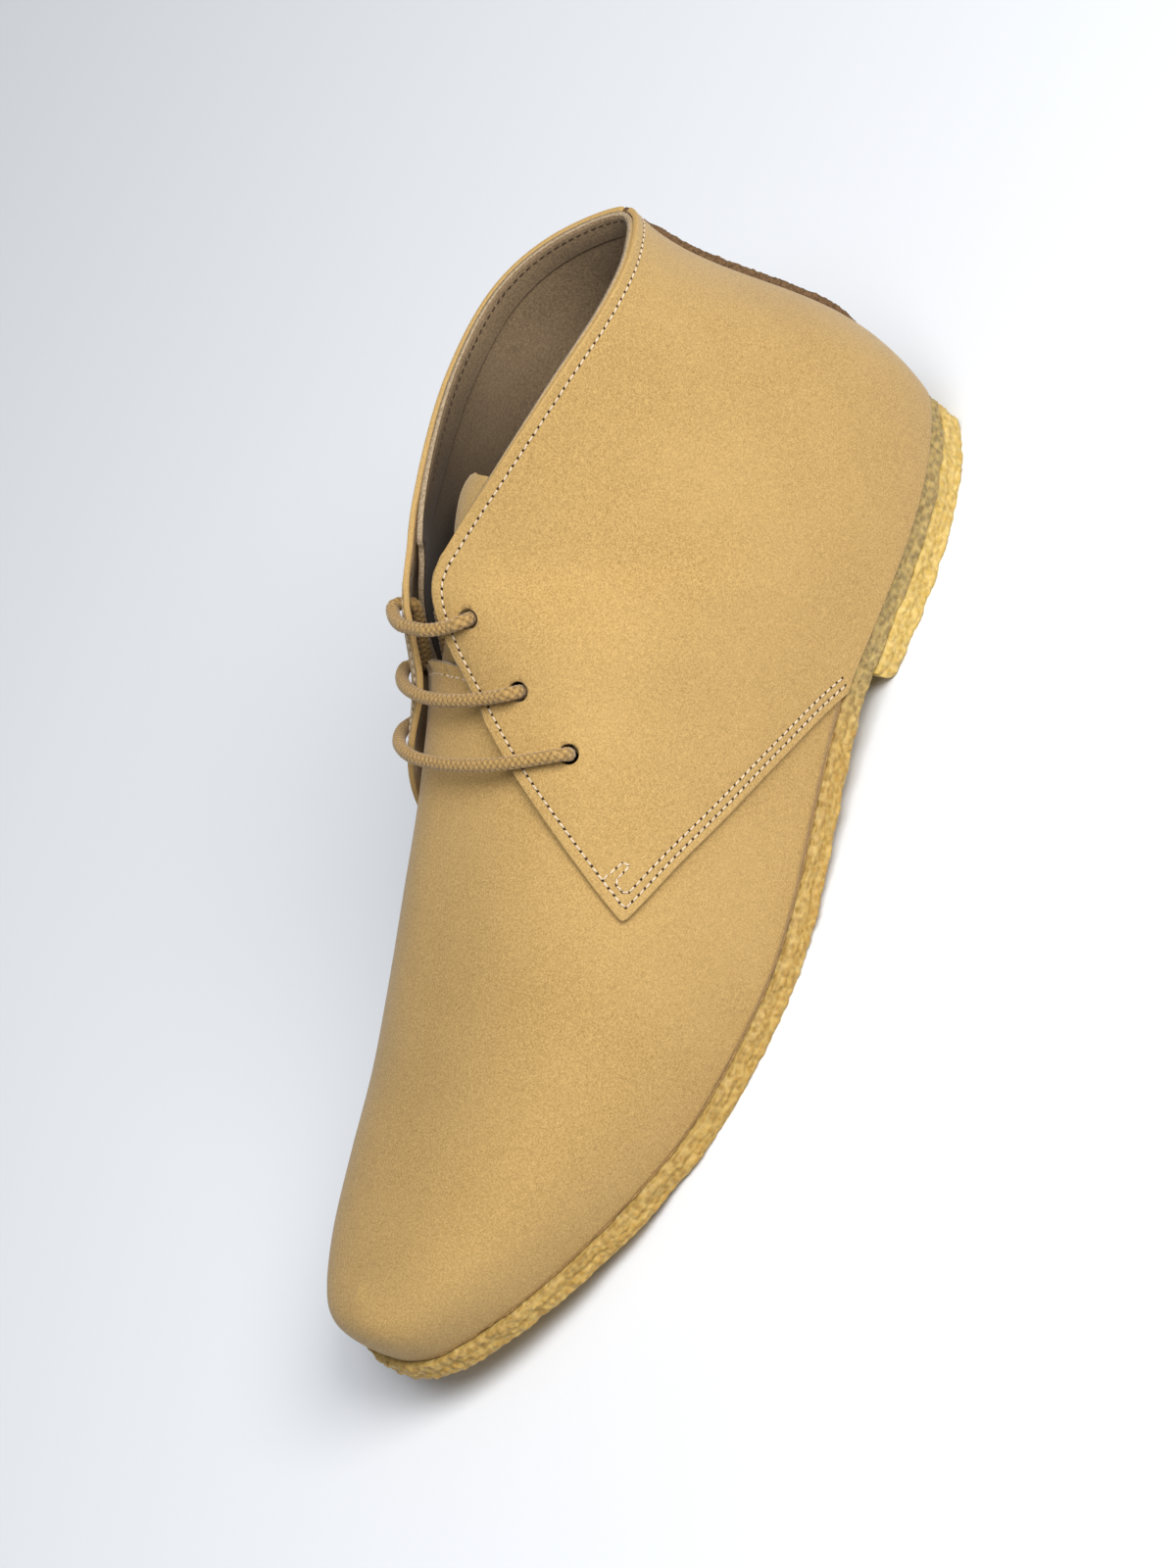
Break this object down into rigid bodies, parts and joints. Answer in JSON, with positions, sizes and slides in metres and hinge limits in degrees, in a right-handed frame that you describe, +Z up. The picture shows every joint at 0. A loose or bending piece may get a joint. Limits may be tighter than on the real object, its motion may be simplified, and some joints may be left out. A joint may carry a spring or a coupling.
{
  "type": "desert boot",
  "caption": "Ankle-high suede desert boot for the left foot, with a crepe sole, a heel lift and a round lace through bare holes.",
  "frame": {"origin": "on the floor under the middle of the boot's bounding box", "axes": "+X from heel to toe, +Y to the outer side of the foot, +Z up"},
  "size_m": [0.298, 0.0984, 0.1285],
  "materials": {
    "suede": "sand nubuck suede, matt",
    "crepe": "natural crepe rubber, grainy",
    "lining": "matt textile",
    "cord": "round braid",
    "raw_edge": "raw cut edge"
  },
  "bodies": {
    "root": {"upper": "suede", "quarter_lateral": "suede", "quarter_medial": "suede", "tongue": "suede", "insole": "lining", "outsole": "crepe", "heel": "crepe", "back_seam": "raw_edge", "lace": "cord"}
  },
  "joints": []
}
